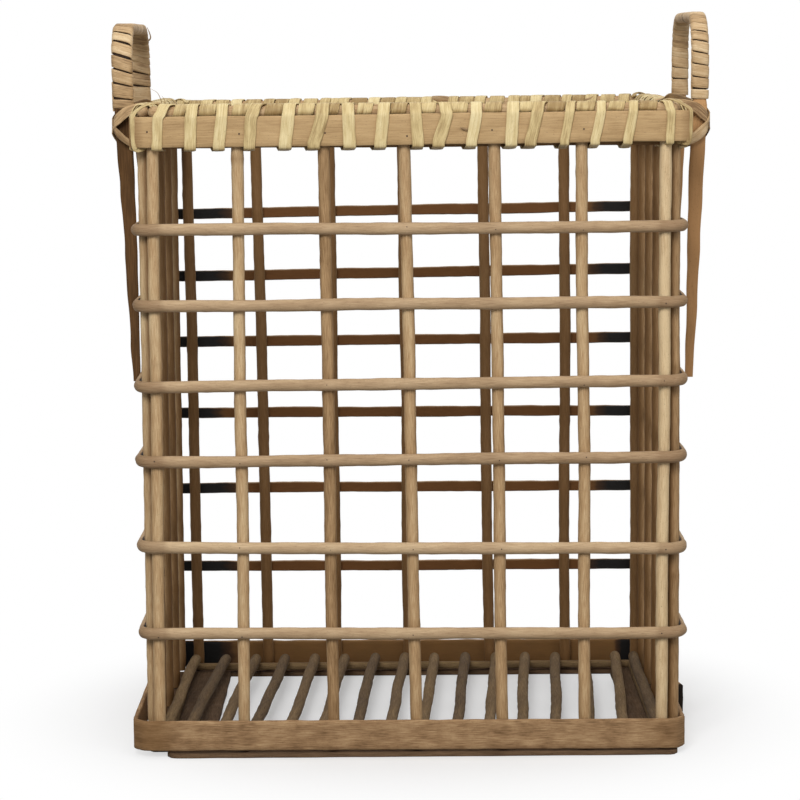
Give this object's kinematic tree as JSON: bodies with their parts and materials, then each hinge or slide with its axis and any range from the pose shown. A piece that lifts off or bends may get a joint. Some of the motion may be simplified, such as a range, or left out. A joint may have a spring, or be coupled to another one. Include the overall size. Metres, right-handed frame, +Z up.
{
  "type": "open lattice basket",
  "caption": "Rectangular open basket of round rods and split hoops, with a laced rim, a rod floor and two bound strap handles.",
  "frame": {"origin": "centre of the footprint, on the ground", "axes": "+Z up, the long front wall towards -Y, the handles on the -X and +X walls"},
  "size_m": [0.4658, 0.3158, 0.5691],
  "materials": {
    "stake": "peeled rattan rod, weathered, dry satin",
    "hoop": "split rattan, rounded back outwards, scorched at the bends",
    "floor_rod": "peeled rattan rod, dusty and dark",
    "base_slat": "flat split slat, dark brown, rough",
    "base_hoop": "flat split hoop, brown",
    "base_band": "wide flat split band, worn, creased at the corners",
    "rim_slat": "flat split slat, worn edges",
    "rim_rod": "peeled rattan rod",
    "lacing": "flat cane strip, straw coloured, semi-gloss skin",
    "handle": "bent flat slat, worn",
    "handle_wrap": "flat cane strip wound close, semi-gloss skin"
  },
  "bodies": {
    "root": {"front_stake_1": "stake", "front_stake_2": "stake", "front_stake_3": "stake", "front_stake_4": "stake", "front_stake_5": "stake", "front_stake_6": "stake", "front_stake_7": "stake", "back_stake_1": "stake", "back_stake_2": "stake", "back_stake_3": "stake", "back_stake_4": "stake", "back_stake_5": "stake", "back_stake_6": "stake", "back_stake_7": "stake", "left_stake_1": "stake", "left_stake_2": "stake", "left_stake_3": "stake", "left_stake_4": "stake", "left_stake_5": "stake", "right_stake_1": "stake", "right_stake_2": "stake", "right_stake_3": "stake", "right_stake_4": "stake", "right_stake_5": "stake", "hoop_1": "hoop", "hoop_2": "hoop", "hoop_3": "hoop", "hoop_4": "hoop", "hoop_5": "hoop", "hoop_6": "hoop", "floor_rod_1": "floor_rod", "floor_rod_2": "floor_rod", "floor_rod_3": "floor_rod", "floor_rod_4": "floor_rod", "floor_rod_5": "floor_rod", "floor_rod_6": "floor_rod", "floor_rod_7": "floor_rod", "floor_rod_8": "floor_rod", "floor_rod_9": "floor_rod", "floor_rod_10": "floor_rod", "floor_rod_11": "floor_rod", "floor_rod_12": "floor_rod", "floor_rod_13": "floor_rod", "floor_rod_14": "floor_rod", "floor_rod_15": "floor_rod", "floor_rod_16": "floor_rod", "front_base_strip": "base_slat", "back_base_strip": "base_slat", "left_base_slat": "base_slat", "right_base_slat": "base_slat", "base_hoop": "base_hoop", "base_band": "base_band", "rim_outer_slat": "rim_slat", "rim_inner_slat": "rim_slat", "rim_rod": "rim_rod", "rim_lacing": "lacing", "left_handle": "handle", "left_handle_wrap": "handle_wrap", "right_handle": "handle", "right_handle_wrap": "handle_wrap"}
  },
  "joints": []
}
